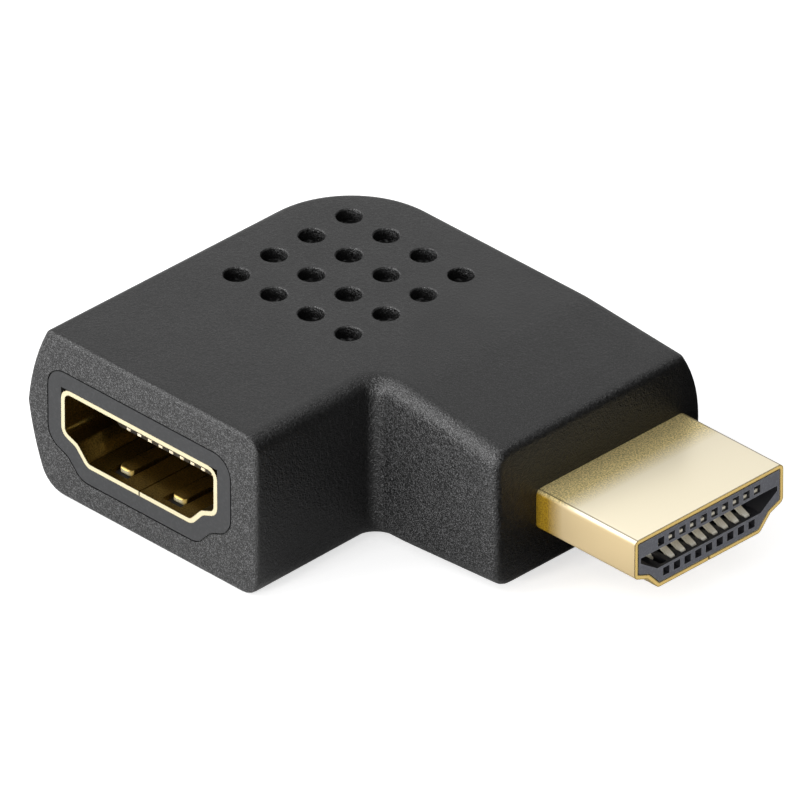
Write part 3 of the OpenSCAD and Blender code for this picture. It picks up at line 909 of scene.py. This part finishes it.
def way_back(azimuth: float, elevation: float) -> Vector:
    """Gives the way from the object back to a lamp or a camera.

    Args:
        azimuth: its degrees from the socket's side towards the plug's.
        elevation: its degrees above the floor.

    Returns:
        A vector of length 1.
    """
    turn = math.radians(azimuth)
    rise = math.radians(elevation)
    return Vector((math.sin(turn) * math.cos(rise), -math.cos(turn) * math.cos(rise), math.sin(rise)))


def face(thing: bpy.types.Object, place: Vector, back: Vector) -> None:
    """Puts a lamp or a camera at a place and turns its back to a heading.

    Args:
        thing: the lamp or the camera.
        place: where it stands.
        back: the way that its back faces.
    """
    thing.location = place
    thing.rotation_mode = "QUATERNION"
    thing.rotation_quaternion = back.to_track_quat("Z", "Y")


@dataclass(frozen=True)
class Floor:
    """The pale floor that keeps the object's shadow.

    Mirrors alone also find painted shade on it: a dark card some way along the dark heading, and a painted
    half-dark shadow in the inner corner of the object's L.
    """

    half: float = 0.6
    shade: Colour = (0.75, 0.75, 0.75)
    camera_glow: float = 0.58
    mirror_glow: float = 0.15
    # To mirrors alone, painted shade: a dark card and a shadow in the inner corner.
    painted_card_shade: Colour = (0.03, 0.03, 0.03)
    painted_card_span: Span = (3.0 * MM, 12.0 * MM)
    painted_shadow_middle: Triple = (5.0 * MM, -7.0 * MM, 0.0)
    painted_shadow_dark: float = 0.58
    painted_shadow_span: Span = (5.0 * MM, 9.0 * MM)

    def build(self) -> None:
        """Lays the floor."""
        h = self.half
        mesh = bpy.data.meshes.new("studio_floor")
        mesh.from_pydata([(-h, -h, 0), (h, -h, 0), (h, h, 0), (-h, h, 0)], [], [(0, 1, 2, 3)])
        mesh.materials.append(self.make())
        floor = put("studio_floor", mesh)

    def make(self) -> bpy.types.Material:
        """Builds the finish.

        Returns:
            The material.
        """
        material = bpy.data.materials.new("pale_floor")
        material.use_nodes = True
        desk = NodeDesk(material.node_tree)
        rays = desk.add("ShaderNodeLightPath")
        card = desk.add("ShaderNodeBsdfDiffuse")
        card.inputs["Color"].default_value = (*self.painted_card_shade, 1.0)
        dark = desk.times(self.dark(desk), rays.outputs["Is Glossy Ray"])
        whole = desk.layer(dark, self.lit(desk, rays), card.outputs[0])
        output = desk.add("ShaderNodeOutputMaterial")
        desk.join(whole, output.inputs["Surface"])
        return material

    def lit(self, desk: NodeDesk, rays: bpy.types.Node) -> NodeSocket:
        """Makes the floor's own surface.

        Args:
            desk: the material's tree.
            rays: what kind of ray meets the floor.

        Returns:
            A pale surface that glows a little to the camera, and less to mirrors.
        """
        pale = desk.add("ShaderNodeBsdfDiffuse")
        pale.inputs["Color"].default_value = (*self.shade, 1.0)
        seen = desk.spread(rays.outputs["Is Camera Ray"], 0.0, self.camera_glow, WHOLE)
        mirrored = desk.spread(rays.outputs["Is Glossy Ray"], 0.0, self.mirror_glow, WHOLE)
        glow = desk.add("ShaderNodeEmission")
        desk.join(desk.combine("ADD", seen, mirrored), glow.inputs["Strength"])
        both = desk.add("ShaderNodeAddShader")
        desk.join(pale.outputs[0], both.inputs[0])
        desk.join(glow.outputs[0], both.inputs[1])
        return both.outputs[0]

    def dark(self, desk: NodeDesk) -> NodeSocket:
        """Finds the painted dark card and the painted shadow in the inner corner.

        Args:
            desk: the material's tree.

        Returns:
            How much painted shade the floor has there, 0 to 1.
        """
        place = desk.place()
        card = desk.rise(desk.along(place, DARK_HEADING), self.painted_card_span)
        # A painted shadow in the inner corner of the L.
        painted_shadow = desk.spread(desk.away(place, self.painted_shadow_middle), self.painted_shadow_dark, 0.0, self.painted_shadow_span)
        return desk.combine("MAXIMUM", card, painted_shadow)


@dataclass(frozen=True)
class Surroundings:
    """The room: white to the camera, white with one dark side to mirrors, softer as light."""

    light: float = 0.6
    mirror_light: float = 0.86
    mirror_dark: float = 0.08
    dark_span: Span = (0.4, 0.75)

    def build(self) -> None:
        """Puts the room round the object."""
        world = bpy.data.worlds.new("studio_world")
        world.use_nodes = True
        bpy.context.scene.world = world
        desk = NodeDesk(world.node_tree)
        rays = desk.add("ShaderNodeLightPath")
        white = desk.add("ShaderNodeBackground")
        soft = desk.add("ShaderNodeBackground")
        soft.inputs["Strength"].default_value = self.light
        room = desk.add("ShaderNodeBackground")
        side = desk.along(desk.place("Generated"), DARK_HEADING)
        level = desk.spread(side, self.mirror_light, self.mirror_dark, self.dark_span)
        desk.join(level, room.inputs["Strength"])
        for background in (white, soft, room):
            background.inputs["Color"].default_value = (*WHITE, 1.0)
        unseen = desk.layer(rays.outputs["Is Glossy Ray"], soft.outputs[0], room.outputs[0])
        whole = desk.layer(rays.outputs["Is Camera Ray"], unseen, white.outputs[0])
        output = desk.add("ShaderNodeOutputWorld")
        desk.join(whole, output.inputs["Surface"])
        LOG.info("added %s", world.name)


@dataclass(frozen=True)
class Lamp:
    """A square soft lamp that faces the object. Its angles are in degrees and its power is in watts."""

    name: str
    azimuth: float
    elevation: float
    distance: float
    size: float
    power: float

    def build(self) -> None:
        """Hangs the lamp."""
        data = bpy.data.lights.new(self.name, "AREA")
        data.shape = "SQUARE"
        data.size = self.size
        data.energy = self.power
        back = way_back(self.azimuth, self.elevation)
        face(put(self.name, data), back * self.distance, back)


@dataclass(frozen=True)
class PhotoCamera:
    """The camera at the photograph's angle, almost without perspective.

    Its focus and its sensor are in Blender's millimetres. It aims at a point on the floor, measured from the
    middle of the plug's front, with a small shift across and up the picture.
    """

    azimuth: float = 45.10
    elevation: float = 31.87
    distance: float = 1.65
    focus: float = 1123.0
    sensor: float = 36.0
    nearest: float = 0.01
    farthest: float = 20.0
    target_x: float = -20.681 * MM
    target_y: float = -6.65 * MM
    aim_right: float = -0.996 * MM
    aim_up: float = 7.380 * MM

    def build(self) -> None:
        """Places the camera."""
        data = bpy.data.cameras.new("photo_camera")
        data.sensor_width = self.sensor
        data.lens = self.focus
        data.clip_start = self.nearest
        data.clip_end = self.farthest
        low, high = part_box("plug_shell")
        target = Vector((high.x + self.target_x, (low.y + high.y) / 2 + self.target_y, 0.0))
        back = way_back(self.azimuth, self.elevation)
        turn = math.radians(self.azimuth)
        right = Vector((math.cos(turn), math.sin(turn), 0.0))
        aim = target + right * self.aim_right + back.cross(right) * self.aim_up
        camera = put("photo_camera", data)
        face(camera, aim + back * self.distance, back)
        bpy.context.scene.camera = camera


@dataclass(frozen=True)
class Studio:
    """Floor, surroundings, lamps and camera."""

    floor: Floor = Floor()
    surroundings: Surroundings = Surroundings()
    key: Lamp = Lamp("key_lamp", azimuth=-45.0, elevation=38.0, distance=0.5, size=0.4, power=1.7)
    side: Lamp = Lamp("side_lamp", azimuth=-2.0, elevation=14.0, distance=0.5, size=0.12, power=1.4)
    front: Lamp = Lamp("front_lamp", azimuth=44.0, elevation=12.0, distance=0.6, size=0.15, power=1.4)
    camera: PhotoCamera = PhotoCamera()

    def build(self) -> None:
        """Builds the studio."""
        for piece in (self.floor, self.surroundings, self.key, self.side, self.front, self.camera):
            piece.build()
        bpy.context.scene.view_settings.view_transform = "Standard"


def main() -> None:
    """Builds the scene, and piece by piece."""
    logging.basicConfig(level=logging.INFO, format="%(name)s: %(message)s")
    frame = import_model()
    nodes = frame["nodes"]
    group = softener("softened_solid", SHARP_ANGLE)
    contact = CONTACT_GOLD.make()
    plug_gold = replace(PLUG_SHELL_GOLD, root=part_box("plug_shell")[1].x - PLUG_REACH)
    Housing().dress(nodes, group)
    Connector(End.PLUG, plug_gold, contact, PLUG_INSULATOR_GREY).dress(nodes, group)
    Connector(End.SOCKET, SOCKET_SHELL_GOLD, contact, SOCKET_INSULATOR_BLACK).dress(nodes, group)
    Board().dress(nodes, group)
    Studio().build()


if __name__ == "__main__":
    main()
